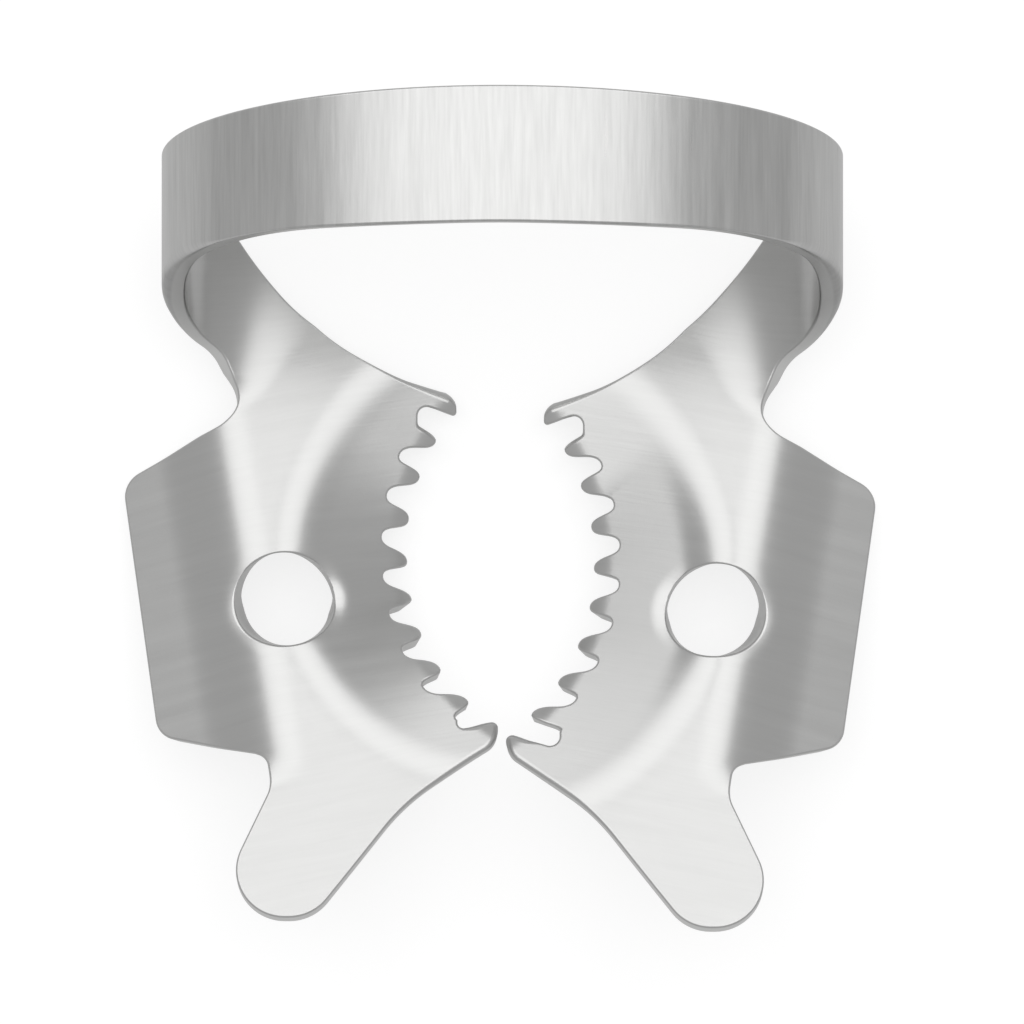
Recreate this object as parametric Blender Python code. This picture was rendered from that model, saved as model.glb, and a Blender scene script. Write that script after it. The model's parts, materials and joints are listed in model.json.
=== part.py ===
"""Winged molar rubber dam clamp, formed from one piece of spring steel sheet.

The clamp is a blank punched from flat sheet: two jaw plates joined by a narrow
strip. The strip is rolled up and over into the bow, each plate is bent down
along its wing, dished around the tooth and turned down at its serrated edge.

The model follows the same order. First comes the blank's outline, then the
forming, which carries each point of the blank to its place in space, and last
the sheet's thickness and its eased edges.

All sizes are in millimetres. The mouth opens towards -Y, the bow stands over
the +Y end, and the clamp lies at rest on z = 0.
"""
from math import acos, atan2, cos, degrees, hypot, pi, radians, sin, sqrt, tan, tanh

import bpy
import numpy as np
from mathutils import Matrix, Vector
from mathutils.geometry import delaunay_2d_cdt

MM = 0.001

# Sheet
THICKNESS = 0.8
EDGE_BREAK = 0.1

# Bow: a half ellipse on two curls, leaning back a little
BOW_WIDTH = 22.86
BOW_HEIGHT = 10.6
BOW_LEAN = 5.0
BOW_FRONT = 9.78
BOW_BACK = 14.1
BOW_MIDDLE_FLAT = 3.0
SHOULDER_FRONT = 10.08
SHOULDER_RADIUS = 12.0
CURL_REACH = 3.5
CURL_RISE = 2.7
CURL_REACH_GAIN = 0.6
CURL_RISE_GAIN = 0.22
CURL_GAIN_FROM = 7.48

# Arm and neck, where the strip leaves the plate
NECK_HALF_WIDTH = 8.58
NECK_Y = 6.5
NECK_RADIUS = 1.1
ARM_SHOULDER = 0.87
ARM_SHOULDER_RISE = 1.92
ARM_CORNER_RADIUS = 0.9
ARM_SWEEP = (5.66, 8.38)
ARM_SWEEP_RADIUS = 7.5
ARM_SLOPE = 1.38
ARM_BACK_RADIUS = 5.0

# Crest, the highest line of each plate, on which the forceps hole lies
CREST_X = 7.28
CREST_SLOPE = 0.17
HOLE_X = 7.28
HOLE_Y = 0.05
HOLE_DIAMETER = 3.24
HOLE_LIP = 0.5

# Wing
WING_SPAN = 25.6
WING_TOP = 4.48
WING_FOOT = -4.37
WING_TAPER = 1.3
WING_CORNER_RADIUS = 0.85
WING_ANGLE = 31.0
WING_BEND = 2.1
WING_STRIP = 2.45
WING_STRIP_ANGLE = 22.5
WING_STRIP_BEND = 1.1

# Front lobe
NOTCH_X = 7.73
NOTCH_TOP = -5.36
NOTCH_FOOT = -6.55
NOTCH_TOP_RADIUS = 0.6
NOTCH_FOOT_RADIUS = 1.2
LOBE_X = 7.08
LOBE_Y = -9.34
LOBE_RADIUS = 1.64
LOBE_OUTER_ANGLE = 28.0
LOBE_INNER_ANGLE = 38.3
LOBE_ROOT = (3.22, -7.12)
LOBE_ROOT_RADIUS = 7.0

# Dish around the tooth: its reach to the side, the back and the front from the mouth's middle
DISH_Y = 1.2
DISH_SIDE = {-1: 7.85, 1: 8.3}
DISH_BACK = {-1: 10.2, 1: 9.4}
DISH_FRONT = {-1: 8.3, 1: 9.4}
DISH_ANGLE = 31.0
DISH_BEND = 1.7
DISH_BACK_EASE = {-1: 0.38, 1: 0.46}
DISH_BACK_TURN = 45.0
DISH_FRONT_EASE = {-1: 0.57, 1: 0.44}
DISH_FRONT_TURN = {-1: 75.0, 1: 45.0}
DISH_INNER_START = 1.3
DISH_INNER_BEND = 0.8
DISH_INNER_SLOPE = {-1: 0.58, 1: 0.34}
DISH_INNER_EASE = {-1: 0.38, 1: 0.0}

# Serrated edge: the teeth lie on an arc struck from beyond the middle
ARC_X = -4.4
ARC_Y = 1.93
TOOTH_TIP_RADIUS = 7.8
TOOTH_DEPTH = 0.8
TOOTH_COUNT = 8
TOOTH_PITCH = 9.73
TOOTH_MIDDLE = -5.4
TOOTH_CROWDING = 0.08
TOOTH_FAN = 0.083
TOOTH_SQUARENESS = 1.3
TOOTH_TURN_SLOPE = 0.85
TOOTH_TURN_BEND = 0.45
TOOTH_TURN_START = 0.18

# End teeth: the upper one hooks, the lower one is the jaw's point
HOOK_X = 1.6
HOOK_LENGTH = 0.58
HOOK_INNER_DROP = 0.28
HOOK_GULLET_RISE = 0.45
HOOK_RADIUS = 0.33
HOOK_INNER_RADIUS = 0.14
GULLET_RADIUS = 0.2
POINT_X = {-1: 0.12, 1: 0.26}
POINT_LENGTH = {-1: 0.64, 1: 0.5}
POINT_FLANK_SLOPE = {-1: 0.25, 1: 0.34}
LAST_GULLET_DROP = {-1: 0.34, 1: 0.62}
POINT_OUTER_RADIUS = 0.36
POINT_INNER_RADIUS = 0.22
LAST_GULLET_EXTRA = {-1: -0.15, 1: 0.45}

# The right jaw sits a little further forward than the left one
JAW_SHIFT = {-1: 0.0, 1: 0.36}
JAW_SHIFT_START = 7.3
JAW_SHIFT_LENGTH = 3.5
JAW_SHIFT_STRIP = 13.0
JAW_SHIFT_STRIP_LENGTH = 3.0

# Fades between the forms of neighbouring regions
WING_FADE_BACK = 7.8
WING_FADE_BACK_LENGTH = 2.0
WING_FADE_FRONT = -6.6
WING_FADE_FRONT_LENGTH = 1.3
ROLL_START = 6.3
ROLL_LENGTH = 1.5

# Fineness of the facets
GRID_PITCH = 0.62
TOOTH_GRID_PITCH = 0.34
EDGE_STEP = 0.5
ARC_TURN = 18.0
FILLET_GAP = 0.02
TOOTH_STEPS = 11
HOLE_STEPS = 28
COMB_SAMPLES = 60
MERGE = 1e-7

# Derived lengths of the strip
BOW_MID_HALF = (BOW_WIDTH - THICKNESS) / 2
BOW_MIDDLE_Y = (BOW_FRONT + BOW_BACK) / 2
BOW_MID_HEIGHT = BOW_HEIGHT - THICKNESS / 2


def quarter_length(a, b):
    """Length of a quarter ellipse, close enough to space points by."""
    return pi / 2 * sqrt((a * a + b * b) / 2)


SPRING_W = BOW_MID_HALF - CURL_REACH + quarter_length(CURL_REACH, CURL_RISE)
HALF_LENGTH = SPRING_W + quarter_length(BOW_MID_HALF, BOW_MID_HEIGHT - CURL_RISE)


def fade(t):
    """Rises smoothly from 0 at t = 0 to 1 at t = 1."""
    t = np.clip(t, 0.0, 1.0)
    return t * t * (3 - 2 * t)


def bend(distance, width):
    """Path that is flat before 0 and climbs at 1 in 1 after a bend of this width."""
    t = np.clip(distance / width, 0.0, 1.0)
    return np.where(distance > width, distance - width / 2, width * (t**3 - t**4 / 2))


def wing_drop(w, y):
    """Wing bent down beyond the crest, with a flatter strip along its outer edge."""
    beyond = w - CREST_X - CREST_SLOPE * y
    steep = tan(radians(WING_ANGLE))
    shallow = tan(radians(WING_STRIP_ANGLE))
    drop = steep * bend(beyond, WING_BEND)
    drop -= (steep - shallow) * bend(beyond - WING_STRIP, WING_STRIP_BEND)
    back = fade((WING_FADE_BACK - y) / WING_FADE_BACK_LENGTH)
    front = fade((y - WING_FADE_FRONT) / WING_FADE_FRONT_LENGTH)
    return drop * back * front


def dish_drop(w, y, side):
    """Bowl pressed around the tooth, steepest level with the forceps hole."""
    front = y < DISH_Y
    along = (y - DISH_Y) * DISH_SIDE[side] / np.where(front, DISH_FRONT[side], DISH_BACK[side])
    inside = DISH_SIDE[side] - np.hypot(w, along)
    turn = np.abs(np.degrees(np.arctan2(along, w)))
    share = np.clip(turn / np.where(front, DISH_FRONT_TURN[side], DISH_BACK_TURN), 0.0, 1.0)
    eased = np.sin(share * pi / 2) ** 2
    less = np.where(front, DISH_FRONT_EASE[side], DISH_BACK_EASE[side]) * eased
    inner_less = np.where(front, 0.0, DISH_INNER_EASE[side]) * eased
    slope = tan(radians(DISH_ANGLE)) * (1 - less)
    inner = DISH_INNER_SLOPE[side] * (1 - inner_less)
    ease = np.maximum(slope - inner, 0.0)
    return slope * bend(inside, DISH_BEND) - ease * bend(inside - DISH_INNER_START, DISH_INNER_BEND)


def tooth_drop(w, y):
    """Serrated edge turned down from its roots."""
    root = TOOTH_TIP_RADIUS + TOOTH_DEPTH
    beyond = root - TOOTH_TURN_START - np.hypot(w - ARC_X, y - ARC_Y)
    return TOOTH_TURN_SLOPE * bend(beyond, TOOTH_TURN_BEND)


def rolled(w, y):
    """Strip as it leaves the plate, curls up and passes over in the bow."""
    reach = CURL_REACH + CURL_REACH_GAIN * (y - CURL_GAIN_FROM)
    rise = CURL_RISE + CURL_RISE_GAIN * (y - CURL_GAIN_FROM)
    start = BOW_MID_HALF - reach
    curl = np.clip((w - start) / (SPRING_W - start), 0.0, 1.0) * pi / 2
    arch = np.clip((w - SPRING_W) / (HALF_LENGTH - SPRING_W), 0.0, 1.0) * pi / 2
    in_arch = w > SPRING_W
    arch_height = BOW_MID_HEIGHT - CURL_RISE - CURL_RISE_GAIN * (BOW_MIDDLE_Y - CURL_GAIN_FROM)
    x = np.where(in_arch, BOW_MID_HALF * np.cos(arch), start + reach * np.sin(curl))
    z = np.where(in_arch, rise + arch_height * np.sin(arch), rise * (1 - np.cos(curl)))
    return start, x, z


def beside_hole(w, y):
    """The point's place for the bends, drawn in at the hole's rim, where the sheet stays flat."""
    from_centre = np.maximum(np.hypot(w - HOLE_X, y - HOLE_Y), HOLE_DIAMETER / 2)
    t = np.clip((from_centre - HOLE_DIAMETER / 2) / HOLE_LIP, 0.0, 1.0)
    drawn = np.where(t < 1, HOLE_DIAMETER / 2 + HOLE_LIP * t**3 * (3 - 2 * t), from_centre)
    share = drawn / from_centre
    return HOLE_X + (w - HOLE_X) * share, HOLE_Y + (y - HOLE_Y) * share


def formed_side(w, y, side):
    """Middle of the sheet, in space, for the blank's points on one side."""
    bent_w, bent_y = beside_hole(w, y)
    z = -wing_drop(bent_w, bent_y) - dish_drop(bent_w, bent_y, side) - tooth_drop(w, y)
    start, roll_x, roll_z = rolled(w, y)
    roll = np.where(w > start, fade((y - ROLL_START) / ROLL_LENGTH), 0.0)
    x = w + (roll_x - w) * roll
    z = z + roll_z * roll
    lean = tan(radians(BOW_LEAN)) * roll_z * roll
    past_plate = fade((y - JAW_SHIFT_START) / JAW_SHIFT_LENGTH)
    past_curl = fade((w - JAW_SHIFT_STRIP) / JAW_SHIFT_STRIP_LENGTH)
    shift = JAW_SHIFT[side] * (1 - past_plate) * (1 - past_curl)
    return np.stack([side * x, y + lean - shift, z], axis=-1)


def formed(points):
    """Middle of the sheet for blank points (u, v); u is 0 at the bow's middle."""
    u, v = points[:, 0], points[:, 1]
    w = HALF_LENGTH - np.abs(u)
    left = formed_side(w, v, -1)
    right = formed_side(w, v, 1)
    return np.where((u > 0)[:, None], right, left)


def formed_normals(points, step=0.01):
    """Unit normals of the formed sheet, by central differences."""
    along = formed(points + [step, 0]) - formed(points - [step, 0])
    across = formed(points + [0, step]) - formed(points - [0, step])
    normal = np.cross(along, across)
    return normal / np.linalg.norm(normal, axis=1)[:, None]


def corner_turn(before, corner, after):
    """Turn of the path at a corner, in radians."""
    back = Vector(before[:2]) - Vector(corner[:2])
    ahead = Vector(after[:2]) - Vector(corner[:2])
    return pi - acos(max(-1.0, min(1.0, back.normalized().dot(ahead.normalized()))))


def fitting(corners):
    """The same corners, their radii drawn in where two fillets would meet on a short side."""
    reaches = [0.0]
    for before, corner, after in zip(corners, corners[1:], corners[2:]):
        reaches.append(corner[2] * tan(corner_turn(before, corner, after) / 2))
    reaches.append(0.0)
    shares = []
    for k in range(len(corners) - 1):
        side = (Vector(corners[k + 1][:2]) - Vector(corners[k][:2])).length
        room = max(side - FILLET_GAP, side / 2)
        used = reaches[k] + reaches[k + 1]
        shares.append(room / used if used > room else 1.0)
    fitted = [corners[0]]
    for corner, share_before, share_after in zip(corners[1:-1], shares, shares[1:]):
        fitted.append((corner[0], corner[1], corner[2] * min(share_before, share_after)))
    return fitted + [corners[-1]]


def filleted(corners):
    """Open path through corners (w, y, radius), each rounded to its radius."""
    path = [Vector(corners[0][:2])]
    fitted = fitting(corners)
    for before, corner, after in zip(fitted, fitted[1:], fitted[2:]):
        here = Vector(corner[:2])
        back = (Vector(before[:2]) - here).normalized()
        ahead = (Vector(after[:2]) - here).normalized()
        turn = corner_turn(before, corner, after)
        reach = corner[2] * tan(turn / 2)
        start = here + back * reach
        end = here + ahead * reach
        centre = here + (back + ahead).normalized() * (corner[2] / cos(turn / 2))
        steps = max(3, round(degrees(turn) / ARC_TURN), round(corner[2] * turn / EDGE_STEP))
        sweep = (start - centre).angle_signed(end - centre)
        for k in range(steps + 1):
            path.append(centre + Matrix.Rotation(-sweep * k / steps, 2) @ (start - centre))
    path.append(Vector(corners[-1][:2]))
    return path


def subdivided(path):
    """The same path with its long straight runs cut into short steps."""
    result = [path[0]]
    for a, b in zip(path, path[1:]):
        steps = max(1, round((b - a).length / EDGE_STEP))
        for k in range(1, steps + 1):
            result.append(a.lerp(b, k / steps))
    return result


def evenly(path, steps):
    """The same path as a number of steps of equal length."""
    lengths = [0.0]
    for a, b in zip(path, path[1:]):
        lengths.append(lengths[-1] + (b - a).length)
    wanted = np.linspace(0, lengths[-1], steps + 1)
    x = np.interp(wanted, lengths, [p.x for p in path])
    y = np.interp(wanted, lengths, [p.y for p in path])
    return [Vector(p) for p in zip(x, y)]


def tooth_point(turn, extra):
    """Point of the comb; turn counts teeth from its lower end, gullets at whole turns."""
    height = 0.5 - 0.5 * tanh(TOOTH_SQUARENESS * cos(2 * pi * turn)) / tanh(TOOTH_SQUARENESS)
    along = turn - TOOTH_COUNT / 2
    bearing = TOOTH_MIDDLE + TOOTH_PITCH * along - TOOTH_CROWDING * along**2
    bearing = radians(bearing * (1 + TOOTH_FAN * height))
    radius = TOOTH_TIP_RADIUS + TOOTH_DEPTH * (1 - height)
    deeper = extra * (1 - height) ** 2 if turn < 0.5 else 0.0
    return Vector((ARC_X + radius * cos(bearing) + deeper, ARC_Y + radius * sin(bearing)))


def comb(extra):
    """Eight rounded teeth between the gullets of the two end teeth."""
    path = [tooth_point(0.0, extra)]
    for tooth in range(TOOTH_COUNT):
        fine = [tooth_point(tooth + k / COMB_SAMPLES, extra) for k in range(COMB_SAMPLES + 1)]
        path += evenly(fine, TOOTH_STEPS)[1:]
    return path


def half_outline(side):
    """Outline of one half of the blank, from the bow's front edge to its back edge."""
    wing_x = WING_SPAN / 2
    outer = radians(LOBE_OUTER_ANGLE)
    inner = radians(LOBE_INNER_ANGLE)
    lobe_foot = LOBE_Y - LOBE_RADIUS
    outer_corner = LOBE_X + LOBE_RADIUS * tan(pi / 4 + outer / 2)
    inner_corner = LOBE_X - LOBE_RADIUS * tan(pi / 4 - inner / 2)
    teeth = comb(LAST_GULLET_EXTRA[side])
    gullet = (teeth[0].x, teeth[0].y - LAST_GULLET_DROP[side])
    point_x = POINT_X[side]
    point_y = gullet[1] + POINT_FLANK_SLOPE[side] * (gullet[0] - point_x)
    hook_gullet = (teeth[-1].x, teeth[-1].y + HOOK_GULLET_RISE)
    hook_y = hook_gullet[1] - HOOK_INNER_DROP
    arm_back_w = ARM_SWEEP[0] + (BOW_BACK - ARM_SWEEP[1]) / ARM_SLOPE
    front = filleted([
        (HALF_LENGTH, BOW_FRONT),
        (HALF_LENGTH - BOW_MIDDLE_FLAT, BOW_FRONT, SHOULDER_RADIUS),
        ((HALF_LENGTH + SPRING_W) / 2, SHOULDER_FRONT, SHOULDER_RADIUS),
        (SPRING_W + CURL_REACH / 2, SHOULDER_FRONT, SHOULDER_RADIUS),
        (NECK_HALF_WIDTH + ARM_SHOULDER, NECK_Y + ARM_SHOULDER_RISE, ARM_CORNER_RADIUS),
        (NECK_HALF_WIDTH, NECK_Y, NECK_RADIUS),
        (wing_x, WING_TOP, WING_CORNER_RADIUS),
        (wing_x - WING_TAPER, WING_FOOT, WING_CORNER_RADIUS),
        (NOTCH_X, NOTCH_TOP, NOTCH_TOP_RADIUS),
        (NOTCH_X, NOTCH_FOOT, NOTCH_FOOT_RADIUS),
        (outer_corner, lobe_foot, LOBE_RADIUS),
        (inner_corner, lobe_foot, LOBE_RADIUS),
        (*LOBE_ROOT, LOBE_ROOT_RADIUS),
        (point_x, point_y - POINT_LENGTH[side], POINT_OUTER_RADIUS),
        (point_x, point_y, POINT_INNER_RADIUS),
        (*gullet, GULLET_RADIUS),
        tuple(teeth[0]),
    ])
    back = filleted([
        tuple(teeth[-1]),
        (*hook_gullet, GULLET_RADIUS),
        (HOOK_X, hook_y, HOOK_INNER_RADIUS),
        (HOOK_X, hook_y + HOOK_LENGTH, HOOK_RADIUS),
        (*ARM_SWEEP, ARM_SWEEP_RADIUS),
        (arm_back_w, BOW_BACK, ARM_BACK_RADIUS),
        (HALF_LENGTH, BOW_BACK),
    ])
    path = subdivided(front)[:-1] + teeth + subdivided(back)[1:]
    return [Vector((side * (HALF_LENGTH - p.x), p.y)) for p in path]


def hole_loop(side):
    """Forceps hole, listed clockwise so that the sheet lies on its left."""
    centre = Vector((side * (HALF_LENGTH - HOLE_X), HOLE_Y))
    loop = []
    for k in range(HOLE_STEPS):
        turn = -2 * pi * k / HOLE_STEPS
        loop.append(centre + HOLE_DIAMETER / 2 * Vector((cos(turn), sin(turn))))
    return loop


def blank_loops():
    """The blank's outer edge and its two holes, sheet on the left of each."""
    left = half_outline(-1)
    right = half_outline(1)
    outer = left + right[-2:0:-1]
    area = sum(a.x * b.y - b.x * a.y for a, b in zip(outer, outer[1:] + outer[:1]))
    if area < 0:
        outer.reverse()
    return [outer, hole_loop(-1), hole_loop(1)]


def inset(loop, distance):
    """The loop moved into the sheet by this distance."""
    points = np.array(loop)
    edges = np.roll(points, -1, axis=0) - points
    edges /= np.linalg.norm(edges, axis=1)[:, None]
    inward = np.stack([-edges[:, 1], edges[:, 0]], axis=1)
    mitre = inward + np.roll(inward, 1, axis=0)
    mitre /= np.sum(mitre * mitre, axis=1)[:, None] / 2
    return points + distance * mitre


def winding_inside(points, loops):
    """True for points inside the outer loop and outside the holes."""
    inside = np.zeros(len(points), dtype=bool)
    for loop in loops:
        a = np.asarray(loop)
        b = np.roll(a, -1, axis=0)
        for (ax, ay), (bx, by) in zip(a, b):
            if ay == by:
                continue
            crosses = (points[:, 1] >= min(ay, by)) & (points[:, 1] < max(ay, by))
            at = ax + (points[:, 1] - ay) * (bx - ax) / (by - ay)
            inside ^= crosses & (points[:, 0] < at)
    return inside


def clear_of(points, loops, gap):
    """True for points further than gap from every edge of the loops."""
    clear = np.ones(len(points), dtype=bool)
    for loop in loops:
        a = np.asarray(loop)
        b = np.roll(a, -1, axis=0)
        for start, end in zip(a, b):
            run = end - start
            t = np.clip((points - start) @ run / (run @ run), 0.0, 1.0)
            nearest = start + t[:, None] * run
            clear &= np.hypot(*(points - nearest).T) > gap
    return clear


def grid(pitch, loops):
    """Staggered grid points inside the loops, symmetrical about u = 0."""
    corners = np.vstack(loops)
    columns = np.arange(0, ceil_steps(corners[:, 0].max(), pitch) + 1)
    rows = np.arange(0, ceil_steps(np.ptp(corners[:, 1]), pitch * sqrt(0.75)) + 1)
    u, v = np.meshgrid(columns * pitch, corners[:, 1].min() + rows * pitch * sqrt(0.75))
    u = u + pitch / 2 * (rows % 2)[:, None]
    right = np.stack([u.ravel(), v.ravel()], axis=1)
    left = right[right[:, 0] > 0] * [-1, 1]
    points = np.vstack([right, left])
    points = points[winding_inside(points, loops)]
    return points[clear_of(points, loops, pitch / 2)]


def ceil_steps(length, pitch):
    """Whole number of steps of this pitch that cover the length."""
    return int(length / pitch) + 1


def near_teeth(points):
    """True for points in the turned-down zone of the serrated edge."""
    w = HALF_LENGTH - np.abs(points[:, 0])
    root = TOOTH_TIP_RADIUS + TOOTH_DEPTH
    return np.hypot(w - ARC_X, points[:, 1] - ARC_Y) < root + GRID_PITCH / 2


def inner_points(loops):
    """Points inside the blank, closer together near the teeth."""
    coarse = grid(GRID_PITCH, loops)
    fine = grid(TOOTH_GRID_PITCH, loops)
    return np.vstack([coarse[~near_teeth(coarse)], fine[near_teeth(fine)]])


def skin_triangles(loops, extra):
    """Triangles over the blank between the loops, as indices into all points."""
    points = np.vstack(loops + [extra])
    edges = []
    start = 0
    for loop in loops:
        count = len(loop)
        edges += [(start + k, start + (k + 1) % count) for k in range(count)]
        start += count
    flat = [Vector(p) for p in points]
    found, _, faces, origins, _, _ = delaunay_2d_cdt(flat, edges, [], 0, MERGE)
    index = [origin[0] for origin in origins]
    triangles = np.array([[index[k] for k in face] for face in faces])
    middles = points[triangles].mean(axis=1)
    return points, triangles[winding_inside(middles, loops)]


def sheet_mesh():
    """Vertices in millimetres and faces of the formed sheet."""
    edge_loops = blank_loops()
    skin_loops = [inset(loop, EDGE_BREAK) for loop in edge_loops]
    flat, triangles = skin_triangles(skin_loops, inner_points(skin_loops))
    middle = formed(flat)
    normal = formed_normals(flat)
    count = len(flat)
    vertices = [middle + normal * THICKNESS / 2, middle - normal * THICKNESS / 2]
    faces = [list(t) for t in triangles]
    faces += [[count + k for k in reversed(t)] for t in triangles]

    rim = np.vstack([np.array(loop) for loop in edge_loops])
    rim_middle = formed(rim)
    rim_normal = formed_normals(rim)
    rim_offset = THICKNESS / 2 - EDGE_BREAK
    vertices += [rim_middle + rim_normal * rim_offset, rim_middle - rim_normal * rim_offset]
    rings = [0, 2 * count, 2 * count + len(rim), count]
    start = 0
    for loop in edge_loops:
        for k in range(len(loop)):
            here = start + k
            ahead = start + (k + 1) % len(loop)
            for upper, lower in zip(rings, rings[1:]):
                faces.append([upper + here, lower + here, lower + ahead, upper + ahead])
        start += len(loop)
    return np.vstack(vertices), faces


def centre_of_mass(vertices, faces):
    """Centre of mass of the closed solid."""
    total = 0.0
    moment = np.zeros(3)
    for face in faces:
        for b, c in zip(face[1:], face[2:]):
            corners = vertices[[face[0], b, c]]
            volume = np.linalg.det(corners)
            total += volume
            moment += volume * corners.sum(axis=0) / 4
    return moment / total


def resting_angle(vertices, centre):
    """Tilt about X at which the clamp, seen from the side, rests on two points."""
    profile = sorted({(float(y), float(z)) for _, y, z in vertices})
    hull = []
    for point in profile:
        while len(hull) > 1 and turns_right(hull[-2], hull[-1], point):
            hull.pop()
        hull.append(point)
    for (y0, z0), (y1, z1) in zip(hull, hull[1:]):
        length = hypot(y1 - y0, z1 - z0)
        along = ((centre[1] - y0) * (y1 - y0) + (centre[2] - z0) * (z1 - z0)) / length
        if 0 <= along <= length:
            return -atan2(z1 - z0, y1 - y0)
    return 0.0


def turns_right(a, b, c):
    """True where the path a, b, c turns clockwise or runs straight on."""
    return (b[0] - a[0]) * (c[1] - a[1]) - (b[1] - a[1]) * (c[0] - a[0]) <= 0


def at_rest(vertices, faces):
    """The clamp tilted onto what it rests on, its box centred over the origin."""
    angle = resting_angle(vertices, centre_of_mass(vertices, faces))
    turned = vertices @ np.array(Matrix.Rotation(angle, 3, "X")).T
    low, high = turned.min(axis=0), turned.max(axis=0)
    return turned - [(low[0] + high[0]) / 2, (low[1] + high[1]) / 2, low[2]]


def steel():
    """Brushed stainless spring steel."""
    material = bpy.data.materials.new("brushed_stainless_steel")
    material.use_nodes = True
    shader = material.node_tree.nodes["Principled BSDF"]
    shader.inputs["Base Color"].default_value = (0.62, 0.62, 0.61, 1.0)
    shader.inputs["Metallic"].default_value = 1.0
    shader.inputs["Roughness"].default_value = 0.35
    return material


def make_clamp():
    """The whole clamp as one object."""
    vertices, faces = sheet_mesh()
    placed = at_rest(vertices, faces) * MM
    mesh = bpy.data.meshes.new("clamp")
    mesh.from_pydata([tuple(p) for p in placed], [], [[int(k) for k in f] for f in faces])
    mesh.materials.append(steel())
    mesh.shade_smooth()
    mesh.set_sharp_from_angle(angle=radians(35))
    clamp = bpy.data.objects.new("clamp", mesh)
    bpy.context.scene.collection.objects.link(clamp)
    return clamp


def main():
    for old in list(bpy.data.objects):
        bpy.data.objects.remove(old)
    make_clamp()


main()
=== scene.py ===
# %% [markdown]
# # A rubber dam clamp in brushed spring steel
#
# The clamp is one piece of sheet steel. A press punches the flat outline, the
# blank, and then bends it. This lesson makes the visible clamp the same way:
# the outline first, then the bends, then the thickness with its eased edges.
# The packed model has the same form in coarser facets, and stays as the frame.

# %% Load the frame
import json
from math import acos, atan2, cos, degrees, pi, radians, sin, sqrt, tan, tanh

import bmesh
import bpy
import numpy as np
from mathutils import Matrix, Vector
from mathutils.geometry import delaunay_2d_cdt


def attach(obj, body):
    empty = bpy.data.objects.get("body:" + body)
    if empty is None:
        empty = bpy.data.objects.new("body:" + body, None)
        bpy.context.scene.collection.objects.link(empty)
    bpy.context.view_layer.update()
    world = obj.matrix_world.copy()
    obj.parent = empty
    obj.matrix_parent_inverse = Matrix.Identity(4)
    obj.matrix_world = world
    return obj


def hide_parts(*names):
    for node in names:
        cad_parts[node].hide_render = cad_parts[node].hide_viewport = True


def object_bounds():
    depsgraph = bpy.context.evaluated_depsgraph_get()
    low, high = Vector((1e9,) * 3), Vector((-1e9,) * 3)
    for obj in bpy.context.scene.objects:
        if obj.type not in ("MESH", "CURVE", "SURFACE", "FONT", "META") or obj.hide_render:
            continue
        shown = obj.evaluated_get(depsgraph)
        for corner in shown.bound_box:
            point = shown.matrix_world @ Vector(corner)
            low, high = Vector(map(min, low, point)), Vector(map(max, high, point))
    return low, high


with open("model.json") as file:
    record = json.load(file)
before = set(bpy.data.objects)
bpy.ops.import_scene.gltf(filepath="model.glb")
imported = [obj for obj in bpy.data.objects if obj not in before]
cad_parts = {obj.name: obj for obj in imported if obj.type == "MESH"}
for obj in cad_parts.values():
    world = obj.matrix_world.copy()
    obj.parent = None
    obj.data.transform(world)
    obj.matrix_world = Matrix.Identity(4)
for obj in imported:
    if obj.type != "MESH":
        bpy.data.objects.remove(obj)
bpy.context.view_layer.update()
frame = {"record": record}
MM = 0.001

# %% [markdown]
# ## Where a point of the blank goes
#
# Each place on the blank has two coordinates in millimetres: u along the
# strip, which is 0 at the middle of the bow, and v across it. In the formulas
# w is the distance from the clamp's middle plane, measured in the sheet, so
# that one set of formulas serves both jaws. Every bend is a formula of w and
# v. Two small curves are all they need: one that fades a form out, and one
# that runs flat, turns through a soft bend and then climbs evenly.

# %% Fading and bending
THICKNESS = 0.8
MERGE = 1e-7


def fade(t):
    """Rises smoothly from 0 at t = 0 to 1 at t = 1."""
    t = np.clip(t, 0.0, 1.0)
    return t * t * (3 - 2 * t)


def bend(distance, width):
    """Path that is flat before 0 and climbs at 1 in 1 after a bend of this width."""
    t = np.clip(distance / width, 0.0, 1.0)
    return np.where(distance > width, distance - width / 2, width * (t**3 - t**4 / 2))


print("a bend 2 wide has climbed", float(bend(np.array(2.0), 2.0)), "at its end")

# %% [markdown]
# ## The wing
#
# Outside the crest, the line through the forceps hole, the plate is bent down
# as a wing. A strip along its outer edge is bent back a little, so it catches
# the light differently. The bend fades out at the neck and at the front lobe.

# %% Wing
WING_SPAN = 25.6
CREST_X = 7.28
CREST_SLOPE = 0.17
WING_ANGLE = 31.0
WING_BEND = 2.1
WING_STRIP = 2.45
WING_STRIP_ANGLE = 21.8
WING_STRIP_BEND = 1.1
WING_FADE_BACK = 7.8
WING_FADE_BACK_LENGTH = 2.0
WING_FADE_FRONT = -6.6
WING_FADE_FRONT_LENGTH = 1.3


def wing_drop(w, y):
    """How far the wing lies below the plate."""
    beyond = w - CREST_X - CREST_SLOPE * y
    steep = tan(radians(WING_ANGLE))
    shallow = tan(radians(WING_STRIP_ANGLE))
    drop = steep * bend(beyond, WING_BEND)
    drop -= (steep - shallow) * bend(beyond - WING_STRIP, WING_STRIP_BEND)
    back = fade((WING_FADE_BACK - y) / WING_FADE_BACK_LENGTH)
    front = fade((y - WING_FADE_FRONT) / WING_FADE_FRONT_LENGTH)
    return drop * back * front


edge_drop = wing_drop(np.array(WING_SPAN / 2), np.array(0.0))
print("the wing's edge drops", round(float(edge_drop), 2), "mm")

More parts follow.
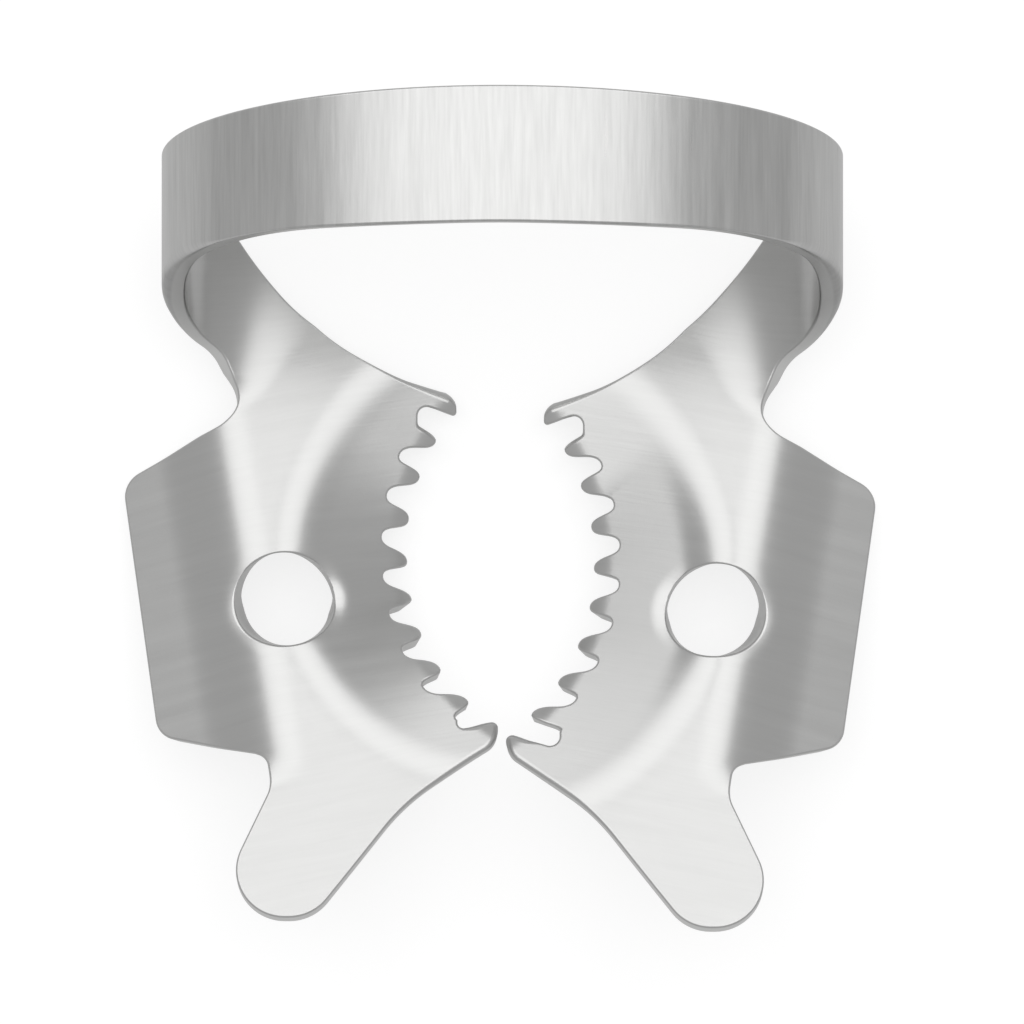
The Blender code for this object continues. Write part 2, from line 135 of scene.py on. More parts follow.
# %% [markdown]
# ## The dish and the turned-down teeth
#
# Between the jaws the sheet is pressed into a shallow bowl that follows the
# tooth's neck, and the serrated edge itself is turned down further. The two
# jaws in the photo differ a little, so where a size has two values, the left
# jaw's stands under -1 and the right jaw's under 1.

# %% Dish and teeth
DISH_Y = 1.2
DISH_SIDE = {-1: 7.92, 1: 8.3}
DISH_BACK = {-1: 9.3, 1: 9.4}
DISH_FRONT = {-1: 8.3, 1: 9.4}
DISH_ANGLE = 31.0
DISH_BEND = 1.6
DISH_BACK_EASE = {-1: 0.27, 1: 0.44}
DISH_BACK_TURN = 45.0
DISH_FRONT_EASE = {-1: 0.43, 1: 0.37}
DISH_FRONT_TURN = {-1: 75.0, 1: 45.0}
DISH_INNER_START = 1.3
DISH_INNER_BEND = 0.8
DISH_INNER_SLOPE = {-1: 0.58, 1: 0.37}
DISH_INNER_EASE = {-1: 0.29, 1: 0.0}
ARC_X = -4.4
ARC_Y = 1.93
TOOTH_TIP_RADIUS = 7.8
TOOTH_DEPTH = 0.8
TOOTH_TURN_SLOPE = 0.35
TOOTH_TURN_BEND = 0.45
TOOTH_TURN_START = 0.18


def dish_drop(w, y, side):
    """Bowl pressed around the tooth, steepest level with the forceps hole."""
    front = y < DISH_Y
    along = (y - DISH_Y) * DISH_SIDE[side] / np.where(front, DISH_FRONT[side], DISH_BACK[side])
    inside = DISH_SIDE[side] - np.hypot(w, along)
    turn = np.abs(np.degrees(np.arctan2(along, w)))
    share = np.clip(turn / np.where(front, DISH_FRONT_TURN[side], DISH_BACK_TURN), 0.0, 1.0)
    eased = np.sin(share * pi / 2) ** 2
    less = np.where(front, DISH_FRONT_EASE[side], DISH_BACK_EASE[side]) * eased
    inner_less = np.where(front, 0.0, DISH_INNER_EASE[side]) * eased
    slope = tan(radians(DISH_ANGLE)) * (1 - less)
    inner = DISH_INNER_SLOPE[side] * (1 - inner_less)
    ease = np.maximum(slope - inner, 0.0)
    return slope * bend(inside, DISH_BEND) - ease * bend(inside - DISH_INNER_START, DISH_INNER_BEND)


def tooth_drop(w, y):
    """Serrated edge turned down from its roots."""
    root = TOOTH_TIP_RADIUS + TOOTH_DEPTH
    beyond = root - TOOTH_TURN_START - np.hypot(w - ARC_X, y - ARC_Y)
    return TOOTH_TURN_SLOPE * bend(beyond, TOOTH_TURN_BEND)


tip = ARC_X + TOOTH_TIP_RADIUS
drop = dish_drop(np.array(tip), np.array(ARC_Y), -1) + tooth_drop(np.array(tip), np.array(ARC_Y))
print("a tooth's tip drops", round(float(drop), 2), "mm")

# %% [markdown]
# ## The curl and the bow
#
# Past the arm the strip curls up through a quarter of an ellipse and then
# passes over the jaws in half of a larger one. Ellipses fit better here than
# circles: the bow of such a clamp is flatter on top and tighter at its sides.
# The curl is wider towards the back, like a cone, and the bow leans back.

# %% Curl and bow
BOW_WIDTH = 22.86
BOW_HEIGHT = 10.6
BOW_LEAN = 5.0
CURL_REACH = 3.5
CURL_RISE = 2.7
CURL_REACH_GAIN = 0.6
CURL_RISE_GAIN = 0.22
CURL_GAIN_FROM = 7.48
ROLL_START = 6.3
ROLL_LENGTH = 1.5
BOW_FRONT = 9.78
BOW_BACK = 14.1
BOW_MID_HALF = (BOW_WIDTH - THICKNESS) / 2
BOW_MIDDLE_Y = (BOW_FRONT + BOW_BACK) / 2
BOW_MID_HEIGHT = BOW_HEIGHT - THICKNESS / 2


def quarter_length(a, b):
    """Length of a quarter ellipse, close enough to space points by."""
    return pi / 2 * sqrt((a * a + b * b) / 2)


SPRING_W = BOW_MID_HALF - CURL_REACH + quarter_length(CURL_REACH, CURL_RISE)
HALF_LENGTH = SPRING_W + quarter_length(BOW_MID_HALF, BOW_MID_HEIGHT - CURL_RISE)


def rolled(w, y):
    """Strip as it leaves the plate, curls up and passes over in the bow."""
    reach = CURL_REACH + CURL_REACH_GAIN * (y - CURL_GAIN_FROM)
    rise = CURL_RISE + CURL_RISE_GAIN * (y - CURL_GAIN_FROM)
    start = BOW_MID_HALF - reach
    curl = np.clip((w - start) / (SPRING_W - start), 0.0, 1.0) * pi / 2
    arch = np.clip((w - SPRING_W) / (HALF_LENGTH - SPRING_W), 0.0, 1.0) * pi / 2
    in_arch = w > SPRING_W
    arch_height = BOW_MID_HEIGHT - CURL_RISE - CURL_RISE_GAIN * (BOW_MIDDLE_Y - CURL_GAIN_FROM)
    x = np.where(in_arch, BOW_MID_HALF * np.cos(arch), start + reach * np.sin(curl))
    z = np.where(in_arch, rise + arch_height * np.sin(arch), rise * (1 - np.cos(curl)))
    return start, x, z


print("the strip is", round(2 * HALF_LENGTH, 1), "mm long from one jaw's edge to the other")

# %% [markdown]
# ## The forceps hole's rim
#
# Next to the forceps hole the sheet stays flatter, because the punch held it.
# The bends are therefore worked out not for the point itself but for a place
# drawn in towards the rim: most at the rim, and more on the dish's side than
# on the wing's. The hole was punched before the bending and leans a little,
# so a camera above the resting clamp looks almost squarely through it.

# %% Beside the hole
HOLE_X = 7.28
HOLE_Y = 0.05
HOLE_DIAMETER = 3.24
HOLE_LIP = 0.5
HOLE_LIP_SHARE = 0.65
HOLE_LIP_SHARE_GAIN = 0.17
HOLE_LEAN = 13.0
HOLE_LEAN_REACH = 1.2


def distance_to(flat, w, y):
    """Distance of blank points (u, v) from a place (w, y) of either half."""
    return np.hypot(HALF_LENGTH - np.abs(flat[:, 0]) - w, flat[:, 1] - y)


def beside_hole(w, y):
    """The point's place for the bends, drawn in towards the hole's rim."""
    out = np.hypot(w - HOLE_X, y - HOLE_Y)
    from_centre = np.maximum(out, HOLE_DIAMETER / 2)
    t = np.clip((from_centre - HOLE_DIAMETER / 2) / HOLE_LIP, 0.0, 1.0)
    flat = np.where(t < 1, HOLE_DIAMETER / 2 + HOLE_LIP * (0.5 + t**3 - t**4 / 2), from_centre)
    share = HOLE_LIP_SHARE + HOLE_LIP_SHARE_GAIN * (HOLE_X - w) / np.maximum(out, MERGE)
    drawn = from_centre + (flat - from_centre) * share
    bent_w = HOLE_X + (w - HOLE_X) * drawn / from_centre
    bent_y = HOLE_Y + (y - HOLE_Y) * drawn / from_centre
    return bent_w, bent_y


def lean_of_hole(flat, height):
    """How far a point near the hole lies aside, because the hole's wall leans."""
    past_rim = distance_to(flat, HOLE_X, HOLE_Y) - HOLE_DIAMETER / 2
    aside = height * tan(radians(HOLE_LEAN)) * fade(1 - past_rim / HOLE_LEAN_REACH)
    return np.stack([np.zeros(len(flat)), aside], axis=1)


print("the hole's wall leans", HOLE_LEAN, "degrees, over", THICKNESS, "mm of sheet")

# %% [markdown]
# ## All bends together
#
# One function now carries any points of the blank into space, on the middle
# of the sheet's thickness. Its slopes, taken by small steps, give the exact
# direction that the sheet faces. They serve twice: to give the sheet its
# thickness, and as the normals that the finished mesh is shaded with. The
# real clamp isn't quite even: its right jaw sits a third of a millimetre
# further forward, and its bow reaches a little further out on the right.

# %% The formed sheet
JAW_SHIFT = {-1: 0.0, 1: 0.36}
JAW_SHIFT_START = 7.3
JAW_SHIFT_LENGTH = 3.5
JAW_SHIFT_STRIP = 13.0
JAW_SHIFT_STRIP_LENGTH = 3.0
BOW_WIDER = {-1: 0.0, 1: 0.015}
SLOPE_STEP = 0.01


def formed_side(w, y, side):
    """Middle of the sheet, in space, for the blank's points on one side."""
    bent_w, bent_y = beside_hole(w, y)
    z = -wing_drop(bent_w, bent_y) - dish_drop(bent_w, bent_y, side) - tooth_drop(w, y)
    start, roll_x, roll_z = rolled(w, y)
    roll = np.where(w > start, fade((y - ROLL_START) / ROLL_LENGTH), 0.0)
    x = w + (roll_x - w) * roll
    x *= 1 + BOW_WIDER[side] * fade((w - start) / (SPRING_W - start)) * roll
    z = z + roll_z * roll
    lean = tan(radians(BOW_LEAN)) * roll_z * roll
    past_plate = fade((y - JAW_SHIFT_START) / JAW_SHIFT_LENGTH)
    past_curl = fade((w - JAW_SHIFT_STRIP) / JAW_SHIFT_STRIP_LENGTH)
    shift = JAW_SHIFT[side] * (1 - past_plate) * (1 - past_curl)
    return np.stack([side * x, y + lean - shift, z], axis=-1)


def formed(points):
    """Middle of the sheet for blank points (u, v)."""
    u, v = points[:, 0], points[:, 1]
    w = HALF_LENGTH - np.abs(u)
    left = formed_side(w, v, -1)
    right = formed_side(w, v, 1)
    return np.where((u > 0)[:, None], right, left)


def formed_normals(points):
    """The way the sheet's lower face looks, by central differences."""
    along = formed(points + [SLOPE_STEP, 0]) - formed(points - [SLOPE_STEP, 0])
    across = formed(points + [0, SLOPE_STEP]) - formed(points - [0, SLOPE_STEP])
    normal = np.cross(along, across)
    return normal / np.linalg.norm(normal, axis=1)[:, None]


bow_top = formed(np.array([[0.0, BOW_MIDDLE_Y]]))[0]
print("the bow's middle stands", round(float(bow_top[2]), 2), "mm above the plates")

# %% [markdown]
# ## The blank's outline
#
# A punched outline is straight runs and round corners, so it is written as
# corners with a radius, and a helper rounds each one. The serrations are a
# wave between two circles: tanh squares its shoulders, which gives the blunt
# teeth and round gullets that a real clamp's punch leaves.

# %% Paths with rounded corners
EDGE_STEP = 0.16
ARC_TURN = 7.0


def filleted(corners):
    """Open path through corners (w, y, radius), each rounded to its radius."""
    path = [Vector(corners[0][:2])]
    for before, corner, after in zip(corners, corners[1:], corners[2:]):
        here = Vector(corner[:2])
        back = (Vector(before[:2]) - here).normalized()
        ahead = (Vector(after[:2]) - here).normalized()
        turn = pi - acos(max(-1.0, min(1.0, back.dot(ahead))))
        reach = corner[2] * tan(turn / 2)
        start = here + back * reach
        end = here + ahead * reach
        centre = here + (back + ahead).normalized() * (corner[2] / cos(turn / 2))
        steps = max(3, round(degrees(turn) / ARC_TURN), round(corner[2] * turn / EDGE_STEP))
        sweep = (start - centre).angle_signed(end - centre)
        for k in range(steps + 1):
            path.append(centre + Matrix.Rotation(-sweep * k / steps, 2) @ (start - centre))
    path.append(Vector(corners[-1][:2]))
    return path


def subdivided(path):
    """The same path with its long straight runs cut into short steps."""
    result = [path[0]]
    for a, b in zip(path, path[1:]):
        steps = max(1, round((b - a).length / EDGE_STEP))
        for k in range(1, steps + 1):
            result.append(a.lerp(b, k / steps))
    return result


corner = filleted([(0, 0), (4, 0, 1.0), (4, 4)])
print("a corner of 1 mm radius takes", len(corner) - 2, "points")

# %% The comb of teeth
TOOTH_COUNT = 8
TOOTH_PITCH = 9.73
TOOTH_MIDDLE = -5.4
TOOTH_CROWDING = 0.08
TOOTH_FAN = 0.083
TOOTH_SQUARENESS = 1.3
TOOTH_STEPS = 26
TOOTH_SAMPLES = 120


def tooth_point(turn, extra):
    """Point of the comb; turn counts teeth from its lower end, gullets at whole turns."""
    height = 0.5 - 0.5 * tanh(TOOTH_SQUARENESS * cos(2 * pi * turn)) / tanh(TOOTH_SQUARENESS)
    along = turn - TOOTH_COUNT / 2
    bearing = TOOTH_MIDDLE + TOOTH_PITCH * along - TOOTH_CROWDING * along**2
    bearing = radians(bearing * (1 + TOOTH_FAN * height))
    radius = TOOTH_TIP_RADIUS + TOOTH_DEPTH * (1 - height)
    deeper = extra * (1 - height) ** 2 if turn < 0.5 else 0.0
    return Vector((ARC_X + radius * cos(bearing) + deeper, ARC_Y + radius * sin(bearing)))


def evenly(path, steps):
    """The same path as a number of steps of equal length."""
    lengths = [0.0]
    for a, b in zip(path, path[1:]):
        lengths.append(lengths[-1] + (b - a).length)
    wanted = np.linspace(0, lengths[-1], steps + 1)
    x = np.interp(wanted, lengths, [p.x for p in path])
    y = np.interp(wanted, lengths, [p.y for p in path])
    return [Vector(p) for p in zip(x, y)]


def comb(extra):
    """Eight rounded teeth between the gullets of the two end teeth."""
    path = [tooth_point(0.0, extra)]
    for tooth in range(TOOTH_COUNT):
        turns = [tooth + k / TOOTH_SAMPLES for k in range(TOOTH_SAMPLES + 1)]
        path += evenly([tooth_point(turn, extra) for turn in turns], TOOTH_STEPS)[1:]
    return path


print("the comb has", len(comb(0.0)), "points")

# %% [markdown]
# The two halves of the blank differ only where the real jaws do: at the point
# of each jaw and at the gullet beside it. The corners of one half are listed
# in three runs: from the bow round the wing, round the front lobe to the
# point, and from the hook along the back edge to the bow again.

# %% The strip's front edge and the wing
BOW_MIDDLE_FLAT = 3.0
BOW_FRONT_RADIUS = 60.0
SHOULDER_FRONT = 10.08
SHOULDER_RADIUS = 12.0
NECK_HALF_WIDTH = 8.58
NECK_Y = 6.5
NECK_RADIUS = 1.1
ARM_SHOULDER = 0.87
ARM_SHOULDER_RISE = 1.92
ARM_CORNER_RADIUS = 0.9
WING_TOP = 4.48
WING_FOOT = -4.37
WING_TAPER = 1.3
WING_CORNER_RADIUS = 0.85
NOTCH_X = 7.73
NOTCH_TOP = -5.36
NOTCH_FOOT = -6.55
NOTCH_TOP_RADIUS = 0.6
NOTCH_FOOT_RADIUS = 1.2

strip_and_wing = [
    (HALF_LENGTH, BOW_FRONT),
    (HALF_LENGTH - BOW_MIDDLE_FLAT, BOW_FRONT, BOW_FRONT_RADIUS),
    ((HALF_LENGTH + SPRING_W) / 2, SHOULDER_FRONT, BOW_FRONT_RADIUS),
    (SPRING_W + CURL_REACH / 2, SHOULDER_FRONT, SHOULDER_RADIUS),
    (NECK_HALF_WIDTH + ARM_SHOULDER, NECK_Y + ARM_SHOULDER_RISE, ARM_CORNER_RADIUS),
    (NECK_HALF_WIDTH, NECK_Y, NECK_RADIUS),
    (WING_SPAN / 2, WING_TOP, WING_CORNER_RADIUS),
    (WING_SPAN / 2 - WING_TAPER, WING_FOOT, WING_CORNER_RADIUS),
    (NOTCH_X, NOTCH_TOP, NOTCH_TOP_RADIUS),
    (NOTCH_X, NOTCH_FOOT, NOTCH_FOOT_RADIUS),
]
print("corners from the bow round the wing to the notch:", len(strip_and_wing))

# %% The front lobe and the jaw's point
LOBE_X = 7.08
LOBE_Y = -9.34
LOBE_RADIUS = 1.64
LOBE_OUTER_ANGLE = 28.0
LOBE_INNER_ANGLE = 38.3
LOBE_ROOT = (3.22, -7.12)
LOBE_ROOT_RADIUS = 7.0
POINT_X = {-1: 0.12, 1: 0.26}
POINT_LENGTH = {-1: 0.84, 1: 0.76}
POINT_FLANK_SLOPE = {-1: 0.25, 1: 0.34}
POINT_OUTER_RADIUS = 0.8
POINT_INNER_RADIUS = 0.22
GULLET_RADIUS = {-1: 0.2, 1: 0.34}
LAST_GULLET_DROP = {-1: 0.34, 1: 0.62}
LAST_GULLET_EXTRA = {-1: -0.15, 1: 0.45}


def lobe_and_point(side, first_tooth):
    """Corners round the front lobe to the jaw's point and the gullet beside it."""
    outer = radians(LOBE_OUTER_ANGLE)
    inner = radians(LOBE_INNER_ANGLE)
    lobe_foot = LOBE_Y - LOBE_RADIUS
    outer_corner = LOBE_X + LOBE_RADIUS * tan(pi / 4 + outer / 2)
    inner_corner = LOBE_X - LOBE_RADIUS * tan(pi / 4 - inner / 2)
    gullet = (first_tooth.x, first_tooth.y - LAST_GULLET_DROP[side])
    point_x = POINT_X[side]
    point_y = gullet[1] + POINT_FLANK_SLOPE[side] * (gullet[0] - point_x)
    return [
        (outer_corner, lobe_foot, LOBE_RADIUS),
        (inner_corner, lobe_foot, LOBE_RADIUS),
        (*LOBE_ROOT, LOBE_ROOT_RADIUS),
        (point_x, point_y - POINT_LENGTH[side], POINT_OUTER_RADIUS),
        (point_x, point_y, POINT_INNER_RADIUS),
        (*gullet, GULLET_RADIUS[side]),
    ]


for side in (-1, 1):
    *_, point, _ = lobe_and_point(side, comb(LAST_GULLET_EXTRA[side])[0])
    print("a jaw's point lies at", [round(c, 2) for c in point[:2]])

# %% The hook and the back edge
HOOK_X = 1.6
HOOK_LENGTH = 0.58
HOOK_INNER_DROP = 0.28
HOOK_RADIUS = 0.33
HOOK_INNER_RADIUS = 0.14
HOOK_GULLET_RISE = 0.49
HOOK_GULLET_RADIUS = 0.33
HOOK_GULLET_SIDE_RADIUS = 0.2
HOOK_GULLET_DEPTH = 0.16
HOOK_GULLET_CUT = 4
ARM_SWEEP = (5.66, 8.38)
ARM_SWEEP_RADIUS = 7.5
ARM_SLOPE = 1.38
ARM_BACK_RADIUS = 5.0


def hook_and_back(teeth, comb_end):
    """Corners from the last tooth round the hook and along the back edge to the bow."""
    flank = (teeth[-1] - teeth[-2]).normalized()
    gullet_side = teeth[-1] + flank * HOOK_GULLET_DEPTH
    hook_gullet = (gullet_side.x, comb_end.y + HOOK_GULLET_RISE)
    hook_y = hook_gullet[1] - HOOK_INNER_DROP
    arm_back_w = ARM_SWEEP[0] + (BOW_BACK - ARM_SWEEP[1]) / ARM_SLOPE
    return [
        (*gullet_side, HOOK_GULLET_SIDE_RADIUS),
        (*hook_gullet, HOOK_GULLET_RADIUS),
        (HOOK_X, hook_y, HOOK_INNER_RADIUS),
        (HOOK_X, hook_y + HOOK_LENGTH, HOOK_RADIUS),
        (*ARM_SWEEP, ARM_SWEEP_RADIUS),
        (arm_back_w, BOW_BACK, ARM_BACK_RADIUS),
        (HALF_LENGTH, BOW_BACK),
    ]


plain_comb = comb(0.0)
hook_corners = hook_and_back(plain_comb[:-HOOK_GULLET_CUT], plain_comb[-1])
print("corners from the hook to the bow:", len(hook_corners))

# %% One half of the outline


def half_outline(side):
    """Outline of one half of the blank, from the bow's front edge to its back edge."""
    whole_comb = comb(LAST_GULLET_EXTRA[side])
    teeth = whole_comb[:-HOOK_GULLET_CUT]
    lobe = lobe_and_point(side, teeth[0])
    front = filleted(strip_and_wing + lobe + [tuple(teeth[0])])
    back = filleted([tuple(teeth[-1])] + hook_and_back(teeth, whole_comb[-1]))
    path = subdivided(front)[:-1] + teeth + subdivided(back)[1:]
    return [Vector((side * (HALF_LENGTH - p.x), p.y)) for p in path]


print("points on the left half's outline:", len(half_outline(-1)))

# %% The outline and its two holes
HOLE_STEPS = 90


def hole_loop(side):
    """Forceps hole, listed clockwise so that the sheet lies on its left."""
    centre = Vector((side * (HALF_LENGTH - HOLE_X), HOLE_Y))
    loop = []
    for k in range(HOLE_STEPS):
        turn = -2 * pi * k / HOLE_STEPS
        loop.append(centre + HOLE_DIAMETER / 2 * Vector((cos(turn), sin(turn))))
    return np.array(loop)


def blank_loops():
    """The blank's outer edge and its two holes, sheet on the left of each."""
    outer = half_outline(-1) + half_outline(1)[-2:0:-1]
    area = sum(a.x * b.y - b.x * a.y for a, b in zip(outer, outer[1:] + outer[:1]))
    if area < 0:
        outer.reverse()
    return [np.array(loop) for loop in (outer, hole_loop(-1), hole_loop(1))]


loops = blank_loops()
print("points on the outline and on each hole:", [len(loop) for loop in loops])

# %% [markdown]
# ## Eased edges
#
# A punched edge is never sharp. Tumbling rounds it by about a tenth of a
# millimetre, and at the jaws' points, at the hooks and along the front of the
# strip more was taken off. So the width of the easing changes along the
# outline, which a bevel modifier couldn't give. It depends on the place and
# on the way in which the edge looks there, which comes first.

# %% The way the edge looks


def mitres(loop):
    """Direction and length that move each point in by one unit."""
    edges = np.roll(loop, -1, axis=0) - loop
    edges /= np.linalg.norm(edges, axis=1)[:, None]
    inward = np.stack([-edges[:, 1], edges[:, 0]], axis=1)
    mitre = inward + np.roll(inward, 1, axis=0)
    return mitre / (np.sum(mitre * mitre, axis=1)[:, None] / 2)


def outward_y(mitre):
    """How far the edge looks towards +y, from -1 to 1."""
    return -mitre[:, 1] / np.linalg.norm(mitre, axis=1)


def looks_forward(mitre):
    """1 where the edge looks towards -y, 0 where it looks sideways or back."""
    return np.clip(-outward_y(mitre), 0, 1)


forward = [int((looks_forward(mitres(loop)) > 0.5).sum()) for loop in loops]
print("points that look forwards, on the outline and on each hole:", forward)

# %% [markdown]
# Each place with more easing has a helper that gives a value for every point
# of a loop: full where the easing is widest, and fading to 0 away from it.

# %% Where the edge is eased more
POINT_TIP = (0.2, -4.6)
POINT_ROLL_REACH = 7.5
TIP_EASE_REACH = 1.3
HOOK_TIP = (1.6, 7.1)
HOOK_ROLL_REACH = 3.0
STRIP_ROLL = 0.3
STRIP_ROLL_FROM = 9.3
STRIP_ROLL_TO = 18.5
STRIP_ROLL_BLEND = 2.5


def at_point(loop, mitre):
    """Shares of the easing at the jaws' points: all round the tip, and along the front."""
    from_tip = distance_to(loop, *POINT_TIP)
    front = fade(1 - from_tip / POINT_ROLL_REACH) * looks_forward(mitre)
    return fade(2 - 2 * from_tip / TIP_EASE_REACH), front


def at_hook(loop, mitre):
    """Share of the easing of the hooks, on the edges that look backwards."""
    from_tip = distance_to(loop, *HOOK_TIP)
    return fade(1 - from_tip / HOOK_ROLL_REACH) * np.clip(outward_y(mitre), 0, 1)


def strip_roll(loop, mitre):
    """Extra width of the outer face's easing at the front edge of the strip's sides."""
    w = HALF_LENGTH - np.abs(loop[:, 0])
    from_neck = fade((w - STRIP_ROLL_FROM) / STRIP_ROLL_BLEND)
    past_neck = fade((loop[:, 1] - NECK_Y) / ARM_SHOULDER_RISE)
    before_bow = fade((STRIP_ROLL_TO - w) / STRIP_ROLL_BLEND)
    return STRIP_ROLL * from_neck * past_neck * before_bow * looks_forward(mitre)


widest = strip_roll(loops[0], mitres(loops[0])).max()
print("the strip's front edge is eased by up to", round(float(widest), 2), "mm more")

# %% [markdown]
# The eased edge is a stack of rings: each ring is the outline moved into the
# sheet by part of the easing's width and down by part of its depth, along a
# quarter of an ellipse. Below the jaws' points the ellipse is taller than
# wide, so that the edge falls away under them.

# %% Rings over the edge
EDGE_EASE = 0.08
TIP_EASE = 0.12
POINT_ROLL = 0.15
POINT_BLEND = 0.4
POINT_UNDERCUT = 0.24
UNDERCUT_RISE = 0.65
HOOK_ROLL = 0.2
RING_STEPS = 6
WALL_STEPS = 2


def edge_rings(loop):
    """Rings (blank points, height off the middle, tilt of the normal) over the edge."""
    mitre = mitres(loop)
    tip, front = at_point(loop, mitre)
    past_teeth = fade((POINT_TIP[1] - loop[:, 1]) / POINT_BLEND)
    upper_width = EDGE_EASE + np.maximum(TIP_EASE * tip, POINT_ROLL * front * past_teeth)
    lower_width = EDGE_EASE + np.maximum(TIP_EASE * tip, POINT_UNDERCUT * front)
    upper_width += HOOK_ROLL * at_hook(loop, mitre)
    roll = strip_roll(loop, mitre)
    lower_rise = lower_width * (1 + UNDERCUT_RISE * front) + roll
    lower_width += roll
    half = THICKNESS / 2
    rings = []
    for side, width, rise in ((1, lower_width, lower_rise), (-1, upper_width, upper_width)):
        for k in range(RING_STEPS + 1):
            tilt = pi / 2 * k / RING_STEPS
            flat = loop + mitre * (width * (1 - sin(tilt)))[:, None]
            height = side * (half - rise * (1 - cos(tilt)))
            rings.append((flat, height, np.full(len(loop), side * tilt)))
    lower, upper = rings[: RING_STEPS + 1], rings[RING_STEPS + 1 :][::-1]
    top_of_wall, foot_of_wall = lower[-1][1], upper[0][1]
    for k in range(1, WALL_STEPS):
        height = top_of_wall + (foot_of_wall - top_of_wall) * k / WALL_STEPS
        lower.append((loop, height, np.full(len(loop), pi / 2)))
    return lower + upper


rings = [edge_rings(loop) for loop in loops]
print("rings over the edge:", len(rings[0]))

# %% [markdown]
# ## Filling the blank
#
# Between the innermost rings the blank is filled with a staggered grid of
# points, joined by a constrained Delaunay triangulation: it keeps the outline
# and holes as they are and makes well-shaped triangles everywhere else. The
# points lie closer at the teeth, and on rings around the holes, where the
# sheet bends most sharply.

# %% Inside the loops, and clear of them


def winding_inside(points, loops):
    """True for points inside the outer loop and outside the holes."""
    inside = np.zeros(len(points), dtype=bool)
    for loop in loops:
        for (ax, ay), (bx, by) in zip(loop, np.roll(loop, -1, axis=0)):
            if ay == by:
                continue
            crosses = (points[:, 1] >= min(ay, by)) & (points[:, 1] < max(ay, by))
            at = ax + (points[:, 1] - ay) * (bx - ax) / (by - ay)
            inside ^= crosses & (points[:, 0] < at)
    return inside


def clear_of(points, loops, gap):
    """True for points further than gap from every edge of the loops."""
    clear = np.ones(len(points), dtype=bool)
    for loop in loops:
        for start, end in zip(loop, np.roll(loop, -1, axis=0)):
            run = end - start
            t = np.clip((points - start) @ run / (run @ run), 0.0, 1.0)
            nearest = start + t[:, None] * run
            clear &= np.hypot(*(points - nearest).T) > gap
    return clear


spots = np.array([[0.0, BOW_MIDDLE_Y], [HALF_LENGTH - HOLE_X, HOLE_Y]])
print("in the steel, at the bow's middle and at a hole's:", winding_inside(spots, loops))

# %% Points inside the blank
GRID_PITCH = 0.24
TOOTH_GRID_PITCH = 0.15
LIP_RING_PITCH = 0.07


def grid(pitch, loops):
    """Staggered grid points inside the loops."""
    outer = loops[0]
    row = pitch * sqrt(0.75)
    u = np.arange(outer[:, 0].min(), outer[:, 0].max(), pitch)
    v = np.arange(outer[:, 1].min(), outer[:, 1].max(), row)
    u, v = np.meshgrid(u, v)
    u = u + pitch / 2 * (np.arange(len(v)) % 2)[:, None]
    points = np.stack([u.ravel(), v.ravel()], axis=1)
    points = points[winding_inside(points, loops)]
    return points[clear_of(points, loops, pitch / 2)]


def near_teeth(points):
    """True for points in the turned-down zone of the serrated edge."""
    root = TOOTH_TIP_RADIUS + TOOTH_DEPTH
    return distance_to(points, ARC_X, ARC_Y) < root + 2 * GRID_PITCH


def lip_rings(side):
    """Closely spaced rings of points on the lip of one side's hole."""
    first = EDGE_EASE + LIP_RING_PITCH
    outs = np.arange(first, HOLE_LIP + 2 * LIP_RING_PITCH, LIP_RING_PITCH)
    centre = np.array([side * (HALF_LENGTH - HOLE_X), HOLE_Y])
    ring = (hole_loop(side) - centre) / (HOLE_DIAMETER / 2)
    return np.vstack([centre + ring * (HOLE_DIAMETER / 2 + out) for out in outs])


def clear_of_lips(points):
    """True for points outside the rings around the holes."""
    past_rim = distance_to(points, HOLE_X, HOLE_Y) - HOLE_DIAMETER / 2
    return past_rim > HOLE_LIP + 3 * LIP_RING_PITCH


inner_loops = [loop_rings[-1][0] for loop_rings in rings]
lower_loops = [loop_rings[0][0] for loop_rings in rings]
coarse = grid(GRID_PITCH, inner_loops)
fine = grid(TOOTH_GRID_PITCH, inner_loops)
fill = np.vstack([coarse[~near_teeth(coarse)], fine[near_teeth(fine)]])
lips = np.vstack([lip_rings(side) for side in (-1, 1)])
fill = np.vstack([fill[clear_of_lips(fill)], lips])
print("points inside the blank:", len(fill))

# %% Triangles over the blank


def skin(loops, fill):
    """Points and triangles over the blank between the loops."""
    points = np.vstack(loops + [fill])
    edges = []
    start = 0
    for loop in loops:
        count = len(loop)
        edges += [(start + k, start + (k + 1) % count) for k in range(count)]
        start += count
    flat = [Vector(p) for p in points]
    _, _, faces, origins, _, _ = delaunay_2d_cdt(flat, edges, [], 0, MERGE)
    index = [origin[0] for origin in origins]
    triangles = np.array([[index[k] for k in face] for face in faces])
    middles = points[triangles].mean(axis=1)
    return points, triangles[winding_inside(middles, loops)]


upper_skin = skin(inner_loops, fill)
lower_skin = skin(lower_loops, fill)
print("triangles on the upper and lower face:", len(upper_skin[1]), len(lower_skin[1]))

# %% [markdown]
# ## From flat to formed
#
# The two faces and the rings are now carried into space. A point's height off
# the middle of the sheet is laid along the sheet's own normal there. The
# normal that each point is shaded with leans outwards over the eased edge, so
# that reflections roll around it as on the real steel. Towards the jaws'
# points the sheet is ground down from below to half its thickness.

# %% Points of the whole sheet
POINT_THINNING = 0.5
POINT_THINNING_REACH = 9.0
RIM_STEP = 0.02


def thinned(flat, height):
    """Height off the sheet's middle, less under the jaws' points, which are ground thinner."""
    from_tip = distance_to(flat, *POINT_TIP)
    share = POINT_THINNING * fade(1 - from_tip / POINT_THINNING_REACH)
    return height - share * (height + THICKNESS / 2)


